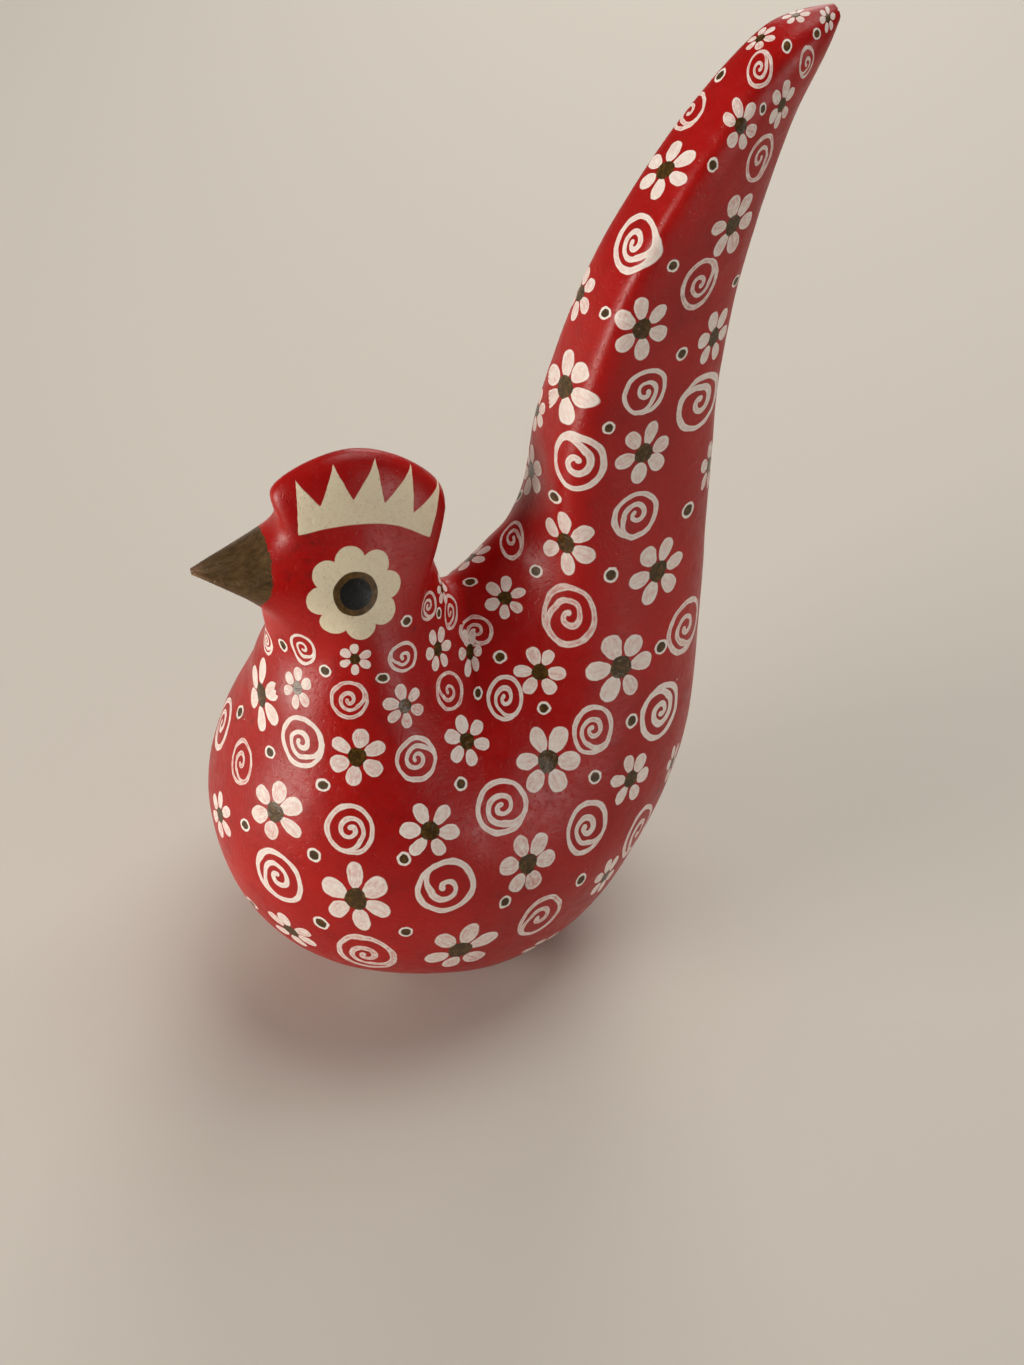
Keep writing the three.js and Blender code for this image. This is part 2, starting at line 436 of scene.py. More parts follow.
def spotTree():
    # for every corner of the skin, where it lies in the nearest spot: across, along and seed
    tree = bpy.data.node_groups.new("spotPlaces", "GeometryNodeTree")
    sockets = (
        ("Skin", "NodeSocketGeometry"),
        ("Spots", "NodeSocketObject"),
        ("Layer", "NodeSocketString"),
        ("Least facing", "NodeSocketFloat"),
        ("Finish", "NodeSocketMaterial"),
    )
    for name, kind in sockets:
        tree.interface.new_socket(name, in_out="INPUT", socket_type=kind)
    tree.interface.new_socket("Skin", in_out="OUTPUT", socket_type="NodeSocketGeometry")
    given = addNode(tree, "NodeGroupInput", out=None).outputs
    spots = addNode(tree, "GeometryNodeObjectInfo", {"Object": given["Spots"]}, out="Geometry")
    place = addNode(tree, "GeometryNodeInputPosition")
    inputs = {"Geometry": spots, "Sample Position": place}
    nearest = addNode(tree, "GeometryNodeSampleNearest", inputs, domain="POINT")
    inFaces = {"data_type": "INT", "domain": "FACE"}
    nearest = addNode(tree, "GeometryNodeFieldOnDomain", [nearest], **inFaces)
    # what the nearest spot holds
    spot = {}
    for name in ("middle", "along", "across", "normal", "seed"):
        kind = {"data_type": "FLOAT" if name == "seed" else "FLOAT_VECTOR"}
        value = place
        if name != "middle":
            value = addNode(tree, "GeometryNodeInputNamedAttribute", {"Name": name}, **kind)
        inputs = {"Geometry": spots, "Value": value, "Index": nearest}
        spot[name] = addNode(tree, "GeometryNodeSampleIndex", inputs, domain="POINT", **kind)
    offset = addNode(tree, vec, [place, spot["middle"]], **minus)
    # a spot keeps its size where it wraps round an edge, so the true distance is used
    reach = addNode(tree, vec, [offset], out="Value", operation="LENGTH")
    beside = addNode(tree, vec, [offset, spot["normal"]], operation="PROJECT")
    beside = addNode(tree, vec, [offset, beside], **minus)
    beside = addNode(tree, vec, [beside], out="Value", operation="LENGTH")
    beside = addNode(tree, num, [beside, 1e-6], operation="MAXIMUM")  # never 0
    stretch = addNode(tree, num, [reach, beside], operation="DIVIDE")
    offset = addNode(tree, vec, {0: offset, "Scale": stretch}, operation="SCALE")
    x = addNode(tree, vec, [offset, spot["along"]], out="Value", operation="DOT_PRODUCT")
    y = addNode(tree, vec, [offset, spot["across"]], out="Value", operation="DOT_PRODUCT")
    local = addNode(tree, combine, [x, y, spot["seed"]])
    # a spot on one side of a thin edge doesn't show through on the other side
    facing = addNode(tree, "GeometryNodeInputNormal")
    inFaces = {"data_type": "FLOAT_VECTOR", "domain": "FACE"}
    facing = addNode(tree, "GeometryNodeFieldOnDomain", [facing], **inFaces)
    facing = addNode(tree, vec, [facing, spot["normal"]], out="Value", operation="DOT_PRODUCT")
    away = addNode(tree, num, [facing, given["Least facing"]], operation="LESS_THAN")
    inputs = [away, local, spotSetup["outside"]]
    local = addNode(tree, "GeometryNodeSwitch", inputs, input_type="VECTOR")
    skinOut = addNode(
        tree, "GeometryNodeStoreNamedAttribute",
        {"Geometry": given["Skin"], "Name": given["Layer"], "Value": local},
        data_type="FLOAT_VECTOR", domain="CORNER",
    )
    skinOut = addNode(tree, "GeometryNodeRealizeInstances", [skinOut])
    inputs = {"Geometry": skinOut, "Material": given["Finish"]}
    skinOut = addNode(tree, "GeometryNodeSetMaterial", inputs)
    addNode(tree, "NodeGroupOutput", [skinOut], out=None)
    return tree


def layOutSpots(finish):
    tree = BVHTree.FromObject(skin, bpy.context.evaluated_depsgraph_get())
    rng = random.Random(spotSetup["seed"])
    flowers, spirals, dots = seenSpots(tree, rng)
    seen = len(flowers) + len(spirals) + len(dots)
    hiddenSpots(tree, rng, flowers, spirals, dots)
    print("spots:", seen, "seen,", len(flowers) + len(spirals) + len(dots), "in all")
    group = spotTree()
    layers = {"flowerSpot": flowers, "spiralSpot": spirals, "dotSpot": dots}
    helpers = []
    for layer, spots in layers.items():
        points = spotPoints(layer + "Points", spots)
        helpers.append(points)
        modifier = skin.modifiers.new(layer, "NODES")
        modifier.node_group = group
        facing = spotSetup["layerFacing"]
        values = {"Spots": points, "Layer": layer, "Least facing": facing, "Finish": finish}
        for item in group.interface.items_tree:
            if item.in_out == "INPUT" and item.name in values:
                modifier[item.identifier] = values[item.name]
    plainCopy(skin)
    for points in helpers:
        bpy.data.objects.remove(points)


# Painted motifs, each drawn from the place in its spot, whose rim lies at 1

def shapeGroup(name, outputs):
    # a node group that turns a place in a spot into masks of what is painted there
    tree = bpy.data.node_groups.new(name, "ShaderNodeTree")
    tree.interface.new_socket("Place", in_out="INPUT", socket_type="NodeSocketVector")
    for output in outputs:
        tree.interface.new_socket(output, in_out="OUTPUT", socket_type="NodeSocketFloat")
    given = addNode(tree, "NodeGroupInput", out=None)
    return tree, given.outputs["Place"]


def handDrawn(tree, place, shape):
    # the place moved a little, so that an outline wanders like a brush
    amount, scale = shape["wander"]
    wander = {"Vector": place, "Scale": scale, "Detail": 2.0}
    wander = addNode(tree, noiseKind, wander, out="Color")
    wander = addNode(tree, vec, [wander, (0.5, 0.5, 0.5)], **minus)
    wander = addNode(tree, vec, [wander, (amount, amount, 0.0)], **times)
    return addNode(tree, vec, [place, wander], **plus)


def polar(tree, place):
    # distance and direction from the spot's middle, and the spot's seed
    parts = addNode(tree, separate, [place], out=None).outputs
    flat = addNode(tree, vec, [place, (1.0, 1.0, 0.0)], **times)
    radius = addNode(tree, vec, [flat], out="Value", operation="LENGTH")
    angle = addNode(tree, num, [parts[1], parts[0]], operation="ARCTAN2")
    seed = addNode(tree, num, [parts[2]], operation="ROUND")
    return radius, angle, seed


def brushStreaks(tree, parts, stretch):
    # the lines that the hairs of a brush leave, finer across the stroke than along it
    place = addNode(tree, combine, parts)
    place = addNode(tree, vec, [place, stretch], **times)
    inputs = {"Vector": place, "Scale": 1.0, "Detail": 3.0, "Roughness": 0.6}
    return addNode(tree, noiseKind, inputs)


flowerShape = {
    "petals": 6,
    "petalMiddle": 0.65,  # of the flower's radius
    "petalHalfLength": 0.37,
    "petalHalfWidth": 0.285,
    "taper": 0.42,  # narrowing of a petal towards the middle
    "taperEnd": 0.75,  # radius where it has its own width
    "lean": 0.12,  # radians that a petal may lean to either side
    "lengths": (0.86, 1.06),  # of the half length
    "widths": (0.82, 1.06),  # of the half width
    "discRadius": 0.325,
    "discCorners": 3.0,  # the disc is a little angular
    "cornerHeight": 0.012,
    "edge": 0.014,  # half the width of a soft edge
    "wander": (0.10, 2.6),  # how far an outline wanders, and how often over a radius
    "streaks": (3.0, 17.0, 3.7),  # brush lines along a petal, across it and from petal to petal
}


def flowerGroup(shape):
    tree, place = shapeGroup("flowerPaint", ("Petals", "Disc", "Inset", "Streaks", "Load"))
    place = handDrawn(tree, place, shape)
    radius, angle, seed = polar(tree, place)
    step = 2 * math.pi / shape["petals"]
    petal = addNode(tree, num, [angle, step], operation="DIVIDE")
    petal = addNode(tree, num, [petal], operation="ROUND")
    middle = addNode(tree, num, [petal, step], **times)
    which = addNode(tree, num, [petal, float(shape["petals"])], operation="FLOORED_MODULO")
    key = addNode(tree, combine, [which, seed, 0.0])
    chance = addNode(tree, chanceKind, {"Vector": key}, out="Color", noise_dimensions="3D")
    chance = addNode(tree, separate, [chance], out=None).outputs
    lean = addNode(tree, ramp, [chance[0], 0.0, 1.0, -shape["lean"], shape["lean"]])
    turn = addNode(tree, num, [angle, middle], **minus)
    turn = addNode(tree, num, [turn, lean], **plus)
    cosine = addNode(tree, num, [turn], operation="COSINE")
    sine = addNode(tree, num, [turn], operation="SINE")
    along = addNode(tree, num, [radius, cosine], **times)
    across = addNode(tree, num, [radius, sine], **times)
    length = addNode(tree, ramp, [chance[1], 0.0, 1.0, *shape["lengths"]])
    width = addNode(tree, ramp, [chance[2], 0.0, 1.0, *shape["widths"]])
    # an oval along the petal, drawn in towards the disc
    u = addNode(tree, num, [along, shape["petalMiddle"]], **minus)
    u = addNode(tree, num, [u, shape["petalHalfLength"]], operation="DIVIDE")
    u = addNode(tree, num, [u, length], operation="DIVIDE")
    narrow = [along, -shape["taper"], 1 + shape["taper"] * shape["taperEnd"]]
    narrow = addNode(tree, num, narrow, operation="MULTIPLY_ADD")
    v = addNode(tree, num, [across, narrow], **times)
    v = addNode(tree, num, [v, shape["petalHalfWidth"]], operation="DIVIDE")
    v = addNode(tree, num, [v, width], operation="DIVIDE")
    oval = addNode(tree, combine, [u, v, 0.0])
    oval = addNode(tree, vec, [oval], out="Value", operation="LENGTH")
    inset = addNode(tree, num, [1.0, oval], **minus)
    inset = addNode(tree, num, [inset, shape["petalHalfWidth"]], **times)
    edge = (-shape["edge"], shape["edge"], 0.0, 1.0)
    petals = addNode(tree, ramp, [inset, *edge], **soft)
    # the brown disc in the middle
    corners = addNode(tree, num, [angle, shape["discCorners"]], **times)
    corners = addNode(tree, num, [corners, seed], **plus)
    corners = addNode(tree, num, [corners], operation="COSINE")
    rim = [corners, shape["cornerHeight"], shape["discRadius"]]
    rim = addNode(tree, num, rim, operation="MULTIPLY_ADD")
    disc = addNode(tree, num, [rim, radius], **minus)
    disc = addNode(tree, ramp, [disc, *edge], **soft)
    streaks = brushStreaks(tree, [along, across, which], shape["streaks"])
    # how dry the brush was, half by the flower and half by the petal
    load = addNode(tree, chanceKind, {"W": seed}, out="Value", noise_dimensions="1D")
    load = addNode(tree, num, [load, chance[0]], **plus)
    load = addNode(tree, num, [load, 0.5], **times)
    results = {"Petals": petals, "Disc": disc, "Inset": inset, "Streaks": streaks, "Load": load}
    addNode(tree, "NodeGroupOutput", results, out=None)
    return tree


spiralShape = {
    "turns": (1.2, 1.75),  # turns from the middle until the stroke swings out to the ring
    "ringTurns": 0.95,  # turns from there to the ring without the swing
    "swing": 0.22,  # turns that the swing takes
    "swingLean": 0.9,  # it runs aslant, so it lies nearer than along a radius
    "ringRadius": 0.89,  # of the spiral's radius
    "halfStroke": 0.096,
    "pressure": (0.78, 1.22),  # thinnest and thickest stroke
    "pressureScale": 1.1,  # how often the pressure changes over a radius
    "start": 0.30,  # turns from the middle where the stroke begins
    "edge": 0.016,
    "wander": (0.16, 1.3),
    "streaks": (9.0, 26.0, 9.0),  # brush lines along a turn, over a radius and by seed
    "loadShift": 0.37,  # draws the load apart from the turns
}


def spiralGroup(shape):
    tree, place = shapeGroup("spiralPaint", ("Stroke", "Inset", "Streaks", "Load"))
    place = handDrawn(tree, place, shape)
    radius, angle, seed = polar(tree, place)
    chance = addNode(tree, chanceKind, {"W": seed}, out="Value", noise_dimensions="1D")
    turns = addNode(tree, ramp, [chance, 0.0, 1.0, *shape["turns"]])
    pitch = addNode(tree, num, [turns, shape["ringTurns"]], **plus)
    pitch = addNode(tree, num, [shape["ringRadius"], pitch], operation="DIVIDE")
    turned = addNode(tree, num, [angle, 2 * math.pi], operation="DIVIDE")
    ahead = addNode(tree, num, [radius, pitch], operation="DIVIDE")
    ahead = addNode(tree, num, [ahead, turned], **minus)
    arm = addNode(tree, num, [ahead], operation="ROUND")
    total = addNode(tree, num, [arm, turned], **plus)  # turns from the middle to here
    off = addNode(tree, num, [ahead, arm], **minus)
    off = addNode(tree, num, [off], operation="ABSOLUTE")
    off = addNode(tree, num, [off, pitch], **times)
    tooEarly = addNode(tree, num, [total, shape["start"]], operation="LESS_THAN")
    tooLate = addNode(tree, num, [total, turns], operation="GREATER_THAN")
    off = addNode(tree, num, [off, tooEarly], **plus)
    off = addNode(tree, num, [off, tooLate], **plus)
    # a short swing from the last arm out to the ring
    share = addNode(tree, num, [turned, turns], **minus)
    share = addNode(tree, num, [share, 1.0], operation="FLOORED_MODULO")
    share = addNode(tree, num, [share, shape["swing"]], operation="DIVIDE")
    last = addNode(tree, num, [pitch, turns], **times)
    outward = addNode(tree, ramp, [share, 0.0, 1.0, last, shape["ringRadius"]], **soft)
    swing = addNode(tree, num, [radius, outward], **minus)
    swing = addNode(tree, num, [swing], operation="ABSOLUTE")
    swing = addNode(tree, num, [swing, shape["swingLean"]], **times)
    past = addNode(tree, num, [share, 1.0], operation="GREATER_THAN")
    swing = addNode(tree, num, [swing, past], **plus)
    off = addNode(tree, num, [off, swing], operation="MINIMUM")
    # the last turn runs round as a closed ring
    ring = addNode(tree, num, [radius, shape["ringRadius"]], **minus)
    ring = addNode(tree, num, [ring], operation="ABSOLUTE")
    off = addNode(tree, num, [off, ring], operation="MINIMUM")
    # the stroke begins with the blob of a loaded brush
    first = 2 * math.pi * shape["start"]
    reach = addNode(tree, num, [pitch, shape["start"]], **times)
    begin = {0: (math.cos(first), math.sin(first), 0.0), "Scale": reach}
    begin = addNode(tree, vec, begin, operation="SCALE")
    flat = addNode(tree, vec, [place, (1.0, 1.0, 0.0)], **times)
    blob = addNode(tree, vec, [flat, begin], out="Value", operation="DISTANCE")
    off = addNode(tree, num, [off, blob], operation="MINIMUM")
    # pressure on the brush makes the stroke thicker and thinner
    pressure = {"Vector": place, "Scale": shape["pressureScale"], "Detail": 1.0}
    pressure = addNode(tree, noiseKind, pressure)
    thin, thick = (shape["halfStroke"] * share for share in shape["pressure"])
    half = addNode(tree, ramp, [pressure, *noiseSpan, thin, thick])
    inset = addNode(tree, num, [half, off], **minus)
    stroke = addNode(tree, ramp, [inset, -shape["edge"], shape["edge"], 0.0, 1.0], **soft)
    streaks = brushStreaks(tree, [total, radius, seed], shape["streaks"])
    # how dry the brush was
    fresh = addNode(tree, num, [seed, shape["loadShift"]], **plus)
    load = addNode(tree, chanceKind, {"W": fresh}, out="Value", noise_dimensions="1D")
    results = {"Stroke": stroke, "Inset": inset, "Streaks": streaks, "Load": load}
    addNode(tree, "NodeGroupOutput", results, out=None)
    return tree


dotShape = {"ring": 1.0, "middle": 0.68, "edge": 0.06, "wander": (0.4, 1.1)}


def dotGroup(shape):
    tree, place = shapeGroup("dotPaint", ("Ring", "Middle"))
    place = handDrawn(tree, place, shape)
    radius, _, _ = polar(tree, place)
    edge = (-shape["edge"], shape["edge"], 0.0, 1.0)
    results = {}
    for name, rim in (("Ring", shape["ring"]), ("Middle", shape["middle"])):
        inset = addNode(tree, num, [rim, radius], **minus)
        results[name] = addNode(tree, ramp, [inset, *edge], **soft)
    addNode(tree, "NodeGroupOutput", results, out=None)
    return tree


# Eye: a cream flower of eight lobes round a brown ring and a black pupil, alike on both sides

eyeShape = {
    "middle": (18.3, -34.6, 165.9),  # millimetres, on the left side
    "normal": (0.92, 0.04, 0.38),
    "lobes": 8,
    "lobeMiddle": 10.0,  # millimetres from the middle
    "lobeRadius": 4.3,
    "disc": 10.6,
    "ring": 6.6,
    "pupil": 4.7,
    "edge": 0.12,
    "wander": (0.7, 0.22),  # how far an outline wanders, and how often over a millimetre
}


def eyeGroup(shape):
    tree, place = shapeGroup("eyePaint", ("Flower", "Ring", "Pupil"))
    place = handDrawn(tree, place, shape)
    normal = Vector(shape["normal"]).normalized()
    up = Vector((0, 0, 1))
    up = (up - normal * up.dot(normal)).normalized()
    ahead = up.cross(normal)
    offset = addNode(tree, vec, [place, shape["middle"]], **minus)
    radius = addNode(tree, vec, [offset], out="Value", operation="LENGTH")
    x = addNode(tree, vec, [offset, tuple(up)], out="Value", operation="DOT_PRODUCT")
    y = addNode(tree, vec, [offset, tuple(ahead)], out="Value", operation="DOT_PRODUCT")
    angle = addNode(tree, num, [y, x], operation="ARCTAN2")
    # every lobe is the same disc, met by folding the angle
    step = 2 * math.pi / shape["lobes"]
    lobe = addNode(tree, num, [angle, step], operation="DIVIDE")
    lobe = addNode(tree, num, [lobe], operation="ROUND")
    lobe = addNode(tree, num, [lobe, -step, angle], operation="MULTIPLY_ADD")
    cosine = addNode(tree, num, [lobe], operation="COSINE")
    sine = addNode(tree, num, [lobe], operation="SINE")
    lobe = addNode(tree, combine, [cosine, sine, 0.0])
    lobe = addNode(tree, vec, {0: lobe, "Scale": radius}, operation="SCALE")
    middle = (shape["lobeMiddle"], 0.0, 0.0)
    lobe = addNode(tree, vec, [lobe, middle], out="Value", operation="DISTANCE")
    lobe = addNode(tree, num, [shape["lobeRadius"], lobe], **minus)
    edge = (-shape["edge"], shape["edge"], 0.0, 1.0)
    results = {}
    for name, rim in (("Flower", "disc"), ("Ring", "ring"), ("Pupil", "pupil")):
        inset = addNode(tree, num, [shape[rim], radius], **minus)
        if name == "Flower":
            inset = addNode(tree, num, [lobe, inset], operation="MAXIMUM")
        results[name] = addNode(tree, ramp, [inset, *edge], **soft)
    addNode(tree, "NodeGroupOutput", results, out=None)
    return tree


# Crown: a cream zigzag on each side of the comb, its corners as (y, z) in millimetres

crownShape = {
    "lean": 0.3,  # the spikes lean back, so their outline is drawn over y - lean * (z - foot)
    "foot": 183.0,
    "from": (-54.0, 168.0),  # low corner of the area that the two outlines are drawn in
    "to": (-2.0, 204.0),
    "top": [
        (-46.2, 197.4), (-40.7, 190.8), (-35.4, 200.8), (-31.4, 191.1), (-23.3, 199.8),
        (-22.6, 188.0), (-12.9, 194.4), (-14.4, 182.5), (-4.5, 186.6),
    ],
    "base": [
        (-46.2, 197.4), (-47.9, 183.4), (-38.2, 184.6), (-28.4, 183.7), (-20.2, 180.8),
        (-10.2, 173.5), (-4.5, 186.6),
    ],
    "sharpBase": (0, 1, 5, 6),  # corners of the base that aren't rounded
    "edge": 0.2,
    "wander": (0.6, 0.3),
}


def outlineCurve(tree, across, points, sharp, shape):
    # a height in millimetres for each place along the comb, from a few corner points
    low, high = Vector(shape["from"]), Vector(shape["to"])
    share = addNode(tree, ramp, [across, low.x, high.x, 0.0, 1.0])
    node = addNode(tree, "ShaderNodeFloatCurve", {"Value": share}, out=None)
    curve = node.mapping.curves[0]
    while len(curve.points) < len(points):
        curve.points.new(0.5, 0.5)
    for index, (y, z) in enumerate(points):
        leaned = y - shape["lean"] * (z - shape["foot"])
        point = curve.points[index]
        point.location = ((leaned - low.x) / (high.x - low.x), (z - low.y) / (high.y - low.y))
        point.handle_type = "VECTOR" if index in sharp else "AUTO"
    node.mapping.update()
    return addNode(tree, ramp, [node.outputs[0], 0.0, 1.0, low.y, high.y])


def crownGroup(shape):
    tree, place = shapeGroup("crownPaint", ("Crown",))
    place = handDrawn(tree, place, shape)
    parts = addNode(tree, separate, [place], out=None).outputs
    lean = addNode(tree, num, [parts[2], shape["foot"]], **minus)
    across = addNode(tree, num, [lean, -shape["lean"], parts[1]], operation="MULTIPLY_ADD")
    top = outlineCurve(tree, across, shape["top"], range(len(shape["top"])), shape)
    base = outlineCurve(tree, across, shape["base"], shape["sharpBase"], shape)
    under = addNode(tree, num, [top, parts[2]], **minus)
    over = addNode(tree, num, [parts[2], base], **minus)
    within = addNode(tree, num, [under, over], operation="MINIMUM")
    crown = addNode(tree, ramp, [within, -shape["edge"], shape["edge"], 0.0, 1.0], **soft)
    addNode(tree, "NodeGroupOutput", {"Crown": crown}, out=None)
    return tree


# Burnished clay slip: coloured liquid clay brushed on thin and rubbed with a stone before firing.
# It gives a deep red with a soft pinkish shine, faint brush lines and small pits.
# The spots are thin white slip with the red showing through, rimmed where the brush left more.

slip = {
    "red": "#9c0a08",
    "brightRed": "#ae0e09",
    "darkRed": "#6c0405",
    "white": "#f0e8e0",
    "thinWhite": "#cf8f88",
    "cream": "#e6dabc",
    "brown": "#3f2c0c",
    "brownWorn": "#68491b",
    "beak": "#42301a",
    "beakLight": "#6c5233",
    # painted highlight: the pale brown laid on the beak's tip for its shine
    "paintedBeakHighlightColour": "#8f6c52",
    "pupil": "#030303",
    "ring": "#44300c",
    "smudge": "#2c1612",
    "specular": 0.3,
    "thinSpiral": 1.7,  # how much red shows through a dry stroke
    "thinFlower": 1.1,
    "dryLoad": (0.25, 1.0),  # dryness of the fullest and of the driest brush
    "rim": (0.01, 0.075),  # in radii of the spot, from a stroke's thick rim to its thin middle
    "dryRim": 0.6,  # how thin the rim of a dry stroke gets
    "streaks": (0.78, 1.3),  # span of the brush lines and the mottle together
    "beakPlane": -56.1,  # millimetres, where the beak's brown ends at and over this height
    "beakHeight": 177.0,
    "beakBend": -0.022,  # by this and the square of the height below, the end bends forward
    "beakEdge": 0.2,
    "paintedBeakHighlightSpan": (-76.5, -73.5, 0.6, 0.0),  # from the tip back, and how much lighter it is there, a painted highlight of the beak's shine
    "beakMetal": 0.25,  # the brown slip has a faint metal shine
    "fleckSpacing": 9.0,  # millimetres between two chances of a white fleck
    "fleckRadius": 0.035,  # of that spacing
    "fleckLimit": 0.72,  # share of the chances that make none
    "fleckCover": 0.8,
    "matteWhite": 0.10,  # roughness added where the slip is white
    "glossyDisc": -0.12,  # and on the brown discs
    "lineRelief": 0.06,  # millimetres
    "whiteRelief": 0.045,
    "patchRelief": 0.22,
}

# noise over the bird: size of one wave in millimetres, detail, roughness and stretch
even = (1.0, 1.0, 1.0)
slipNoise = {
    "clouds": (34.0, 4.0, 0.55, even),
    "patches": (7.0, 4.0, 0.55, even),
    "lines": (1.1, 3.0, 0.55, (1.0, 0.22, 1.0)),  # real brush hairs leave finer ones
    "mottle": (1.9, 4.0, 0.65, even),
    "grain": (0.5, 2.0, 0.55, even),  # real grains are finer, these are as coarse as shows
    "wear": (1.4, 3.0, 0.55, even),
    "specks": (0.7, 2.0, 0.55, even),
    "border": (3.0, 3.0, 0.55, even),
    "strokes": (1.1, 4.0, 0.6, (0.8, 0.16, 1.0)),  # along the beak
    "rubs": (26.0, 2.0, 0.55, even),
    "rubEdges": (3.0, 4.0, 0.55, even),
    "sheen": (4.0, 4.0, 0.55, even),
    "pits": (1.6, 2.0, 0.55, even),
}

# marks: the noise that each comes from, the span of it that counts, and what it comes to
slipMarks = {
    "bright": ("clouds", 0.35, 0.65, 0.0, 1.0),
    "darkPatch": ("patches", 0.55, 0.8, 0.0, 0.35),
    "darkLine": ("lines", 0.5, 0.75, 0.0, 0.18),
    "unworn": ("grain", 0.64, 0.76, 1.0, 0.6),
    "brownWorn": ("wear", 0.45, 0.75, 0.0, 1.0),
    "speck": ("specks", 0.62, 0.70, 0.0, 0.28),
    "stain": ("mottle", 0.5, 0.75, 0.0, 0.22),
    "ringWorn": ("mottle", 0.4, 0.7, 0.0, 1.0),
    "border": ("border", *noiseSpan, -0.4, 0.4),
    "stroke": ("strokes", 0.3, 0.75, 0.0, 1.0),
    "rub": ("rubs", 0.64, 0.72, 0.0, 0.4),
    "rubEdge": ("rubEdges", 0.5, 0.62, 0.0, 1.0),
    "roughness": ("sheen", *noiseSpan, 0.30, 0.46),
    "pit": ("pits", 0.30, 0.42, 0.0, 0.06),
}


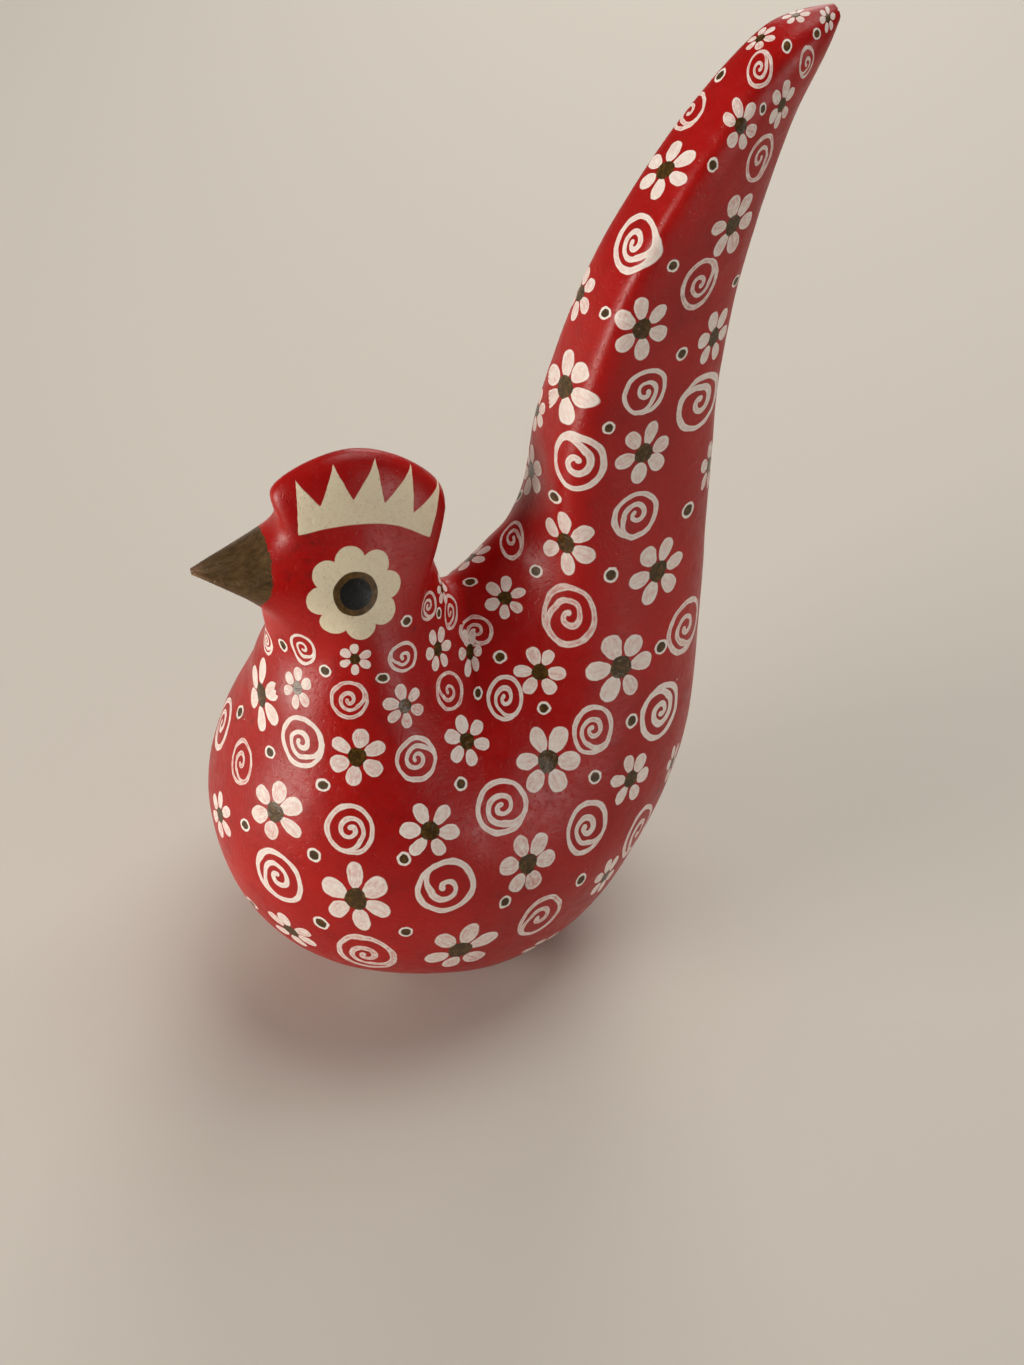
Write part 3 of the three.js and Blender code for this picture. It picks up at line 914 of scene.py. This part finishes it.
def slipMaterial():
    material = bpy.data.materials.new("burnishedClaySlip")
    material.use_nodes = True
    tree = material.node_tree
    tree.nodes.clear()
    place = addNode(tree, "ShaderNodeTexCoord", out="Object")
    place = addNode(tree, vec, {0: place, "Scale": 1 / mm}, operation="SCALE")
    axes = addNode(tree, separate, [place], out=None).outputs
    side = addNode(tree, num, [axes[0]], operation="ABSOLUTE")
    bothSides = addNode(tree, combine, [side, axes[1], axes[2]])
    waves = {}
    for name, (size, detail, roughness, stretch) in slipNoise.items():
        stretched = addNode(tree, vec, [place, stretch], **times)
        inputs = {"Vector": stretched, "Scale": 1 / size, "Detail": detail, "Roughness": roughness}
        waves[name] = addNode(tree, noiseKind, inputs)
    marks = {}
    for name, (source, *span) in slipMarks.items():
        marks[name] = addNode(tree, ramp, [waves[source], *span], clamp=True)

    # what is painted where
    painted = []
    groups = (
        (flowerGroup(flowerShape), "flowerSpot"),
        (spiralGroup(spiralShape), "spiralSpot"),
        (dotGroup(dotShape), "dotSpot"),
        (eyeGroup(eyeShape), None),
        (crownGroup(crownShape), None),
    )
    for group, layer in groups:
        where = bothSides
        if layer:
            where = addNode(tree, "ShaderNodeAttribute", out="Vector", attribute_name=layer)
        painted.append(addNode(tree, "ShaderNodeGroup", [where], out=None, node_tree=group).outputs)
    flower, spiral, dot, eye, crown = painted

    # beak, brushed brown up to a bent line across the face
    down = addNode(tree, num, [slip["beakHeight"], axes[2]], **minus)
    down = addNode(tree, num, [down, 0.0], operation="MAXIMUM")
    bend = addNode(tree, num, [down, 2.0], operation="POWER")
    limit = [bend, slip["beakBend"], slip["beakPlane"]]
    limit = addNode(tree, num, limit, operation="MULTIPLY_ADD")
    limit = addNode(tree, num, [limit, marks["border"]], **plus)
    beak = addNode(tree, num, [limit, axes[1]], **minus)
    beak = addNode(tree, ramp, [beak, -slip["beakEdge"], slip["beakEdge"], 0.0, 1.0], **soft)
    # painted highlight: towards the beak's tip its brown turns lighter, standing for the shine there
    tip = addNode(tree, ramp, [axes[1], *slip["paintedBeakHighlightSpan"]], clamp=True)

    # handling marks
    smudge = addNode(tree, num, [marks["rub"], marks["rubEdge"]], **times)
    cells = {"Vector": place, "Scale": 1 / slip["fleckSpacing"]}
    cells = addNode(tree, "ShaderNodeTexVoronoi", cells, out=None).outputs
    pick = addNode(tree, separate, [cells["Color"]], out=None).outputs
    near = addNode(tree, num, [cells["Distance"], slip["fleckRadius"]], operation="LESS_THAN")
    picked = addNode(tree, num, [pick[0], slip["fleckLimit"]], operation="GREATER_THAN")
    fleck = addNode(tree, num, [near, picked], **times)
    fleck = addNode(tree, num, [fleck, slip["fleckCover"]], **times)

    # each slip's colour, from its own one and what shows on it
    shades = {
        "ground": ("red", (
            (marks["bright"], "brightRed"),
            (marks["darkPatch"], "darkRed"),
            (marks["darkLine"], "darkRed"),
        )),
        "brown": ("brown", ((marks["brownWorn"], "brownWorn"),)),
        "cream": ("cream", ((marks["speck"], "brownWorn"), (marks["stain"], "thinWhite"))),
        "ring": ("ring", ((marks["ringWorn"], "brownWorn"),)),
        "bronze": ("beak", ((marks["stroke"], "beakLight"), (tip, "paintedBeakHighlightColour"))),
    }
    coats = {"white": colour(slip["white"])}
    for name, (own, shown) in shades.items():
        coats[name] = colour(slip[own])
        for share, shade in shown:
            inputs = {0: share, 6: coats[name], 7: colour(slip[shade])}
            coats[name] = addNode(tree, "ShaderNodeMix", inputs, **inColour)

    # white slip of spirals and flowers: thin in the middle of a stroke, thick at its rim, and
    # thinner where the brush held less
    base = coats["ground"]
    for shape, cover, most in ((spiral, "Stroke", "thinSpiral"), (flower, "Petals", "thinFlower")):
        dry = addNode(tree, ramp, [shape["Load"], 0.0, 1.0, *slip["dryLoad"]], clamp=True)
        dryRim = addNode(tree, num, [dry, slip["dryRim"]], **times)
        thin = addNode(tree, ramp, [shape["Inset"], *slip["rim"], 0.0, 1.0], clamp=True)
        thin = addNode(tree, num, [thin, dryRim], operation="MAXIMUM")
        thin = addNode(tree, num, [thin, dry], **times)
        through = addNode(tree, num, [shape["Streaks"], waves["mottle"]], **plus)
        through = addNode(tree, ramp, [through, *slip["streaks"], 0.0, slip[most]], clamp=True)
        thin = addNode(tree, num, [thin, through], **times)
        inputs = {0: thin, 6: coats["white"], 7: colour(slip["thinWhite"])}
        tint = addNode(tree, "ShaderNodeMix", inputs, **inColour)
        shown = addNode(tree, num, [shape[cover], marks["unworn"]], **times)
        base = addNode(tree, "ShaderNodeMix", {0: shown, 6: base, 7: tint}, **inColour)

    # the other coats, in the order that they lie over each other
    layers = (
        (dot["Ring"], coats["white"]),
        (flower["Disc"], coats["brown"]),
        (dot["Middle"], coats["brown"]),
        (smudge, colour(slip["smudge"])),
        (crown["Crown"], coats["cream"]),
        (eye["Flower"], coats["cream"]),
        (eye["Ring"], coats["ring"]),
        (eye["Pupil"], colour(slip["pupil"])),
        (beak, coats["bronze"]),
        (fleck, coats["white"]),
    )
    for share, coat in layers:
        base = addNode(tree, "ShaderNodeMix", {0: share, 6: base, 7: coat}, **inColour)

    # shine and relief
    white = flower["Petals"]
    for cover in (spiral["Stroke"], dot["Ring"], eye["Flower"], crown["Crown"]):
        white = addNode(tree, num, [white, cover], operation="MAXIMUM")
    rough, height = marks["roughness"], marks["pit"]
    for cover, change in ((white, "matteWhite"), (flower["Disc"], "glossyDisc")):
        rough = addNode(tree, num, [cover, slip[change], rough], operation="MULTIPLY_ADD")
    heights = (
        (waves["lines"], "lineRelief"), (white, "whiteRelief"), (waves["patches"], "patchRelief"),
    )
    for cover, change in heights:
        height = addNode(tree, num, [cover, slip[change], height], operation="MULTIPLY_ADD")
    bump = {"Strength": 1.0, "Distance": mm, "Height": height}
    shader = addNode(
        tree, "ShaderNodeBsdfPrincipled",
        {
            "Base Color": base,
            "Roughness": rough,
            "Metallic": addNode(tree, num, [beak, slip["beakMetal"]], **times),
            "Normal": addNode(tree, "ShaderNodeBump", bump),
            "Specular IOR Level": slip["specular"],
        },
    )
    addNode(tree, "ShaderNodeOutputMaterial", {"Surface": shader}, out=None)
    return material


finish = slipMaterial()
layOutSpots(finish)
skin.data.polygons.foreach_set("use_smooth", [True] * len(skin.data.polygons))
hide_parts("bird")
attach(skin, "root")
print("bird painted")


# Pale floor and soft light

stageSetup = {
    "floorSize": 6.0,  # metres
    "floorColour": "#d8d3ca",
    "floorRoughness": 0.9,
    "worldColour": "#f4f1ec",
    "world": 0.10,
    "aim": (0, 0, 0.13),  # metres, where every light points
    "lights": [
        # name, place, size, watts, colour
        ("key", (0.1, -1.25, 0.22), 0.6, 17, "#fff6ec"),
        ("top", (-0.2, 0.35, 1.3), 0.8, 8.5, "#fffaf4"),
        ("back", (-1.05, 0.5, 0.7), 0.6, 5, "#fffaf4"),
        ("side", (0.95, 0.64, 0.2), 0.4, 2.8, "#fffaf4"),
    ],
}


def addStage(setup):
    mesh = bpy.data.meshes.new("floor")
    half = setup["floorSize"] / 2
    corners = [(-half, -half, 0), (half, -half, 0), (half, half, 0), (-half, half, 0)]
    mesh.from_pydata(corners, [], [(0, 1, 2, 3)])
    floor = bpy.data.objects.new("floor", mesh)
    bpy.context.scene.collection.objects.link(floor)
    # matte wall paint: an even pale colour that hardly shines
    material = bpy.data.materials.new("matteBackdropPaint")
    material.use_nodes = True
    shader = material.node_tree.nodes["Principled BSDF"]
    shader.inputs["Base Color"].default_value = colour(setup["floorColour"])
    shader.inputs["Roughness"].default_value = setup["floorRoughness"]
    mesh.materials.append(material)
    for name, place, size, watts, tint in setup["lights"]:
        data = bpy.data.lights.new(name, "AREA")
        data.size = size
        data.energy = watts
        data.color = colour(tint)[:3]
        light = bpy.data.objects.new(name, data)
        light.location = place
        aim = Vector(setup["aim"]) - light.location
        light.rotation_euler = aim.to_track_quat("-Z", "Y").to_euler()
        bpy.context.scene.collection.objects.link(light)
    world = bpy.data.worlds.new("softRoom")
    world.use_nodes = True
    background = world.node_tree.nodes["Background"]
    background.inputs["Color"].default_value = colour(setup["worldColour"])
    background.inputs["Strength"].default_value = setup["world"]
    bpy.context.scene.world = world
    bpy.context.scene.view_settings.view_transform = "Standard"


addStage(stageSetup)
print("stage set")
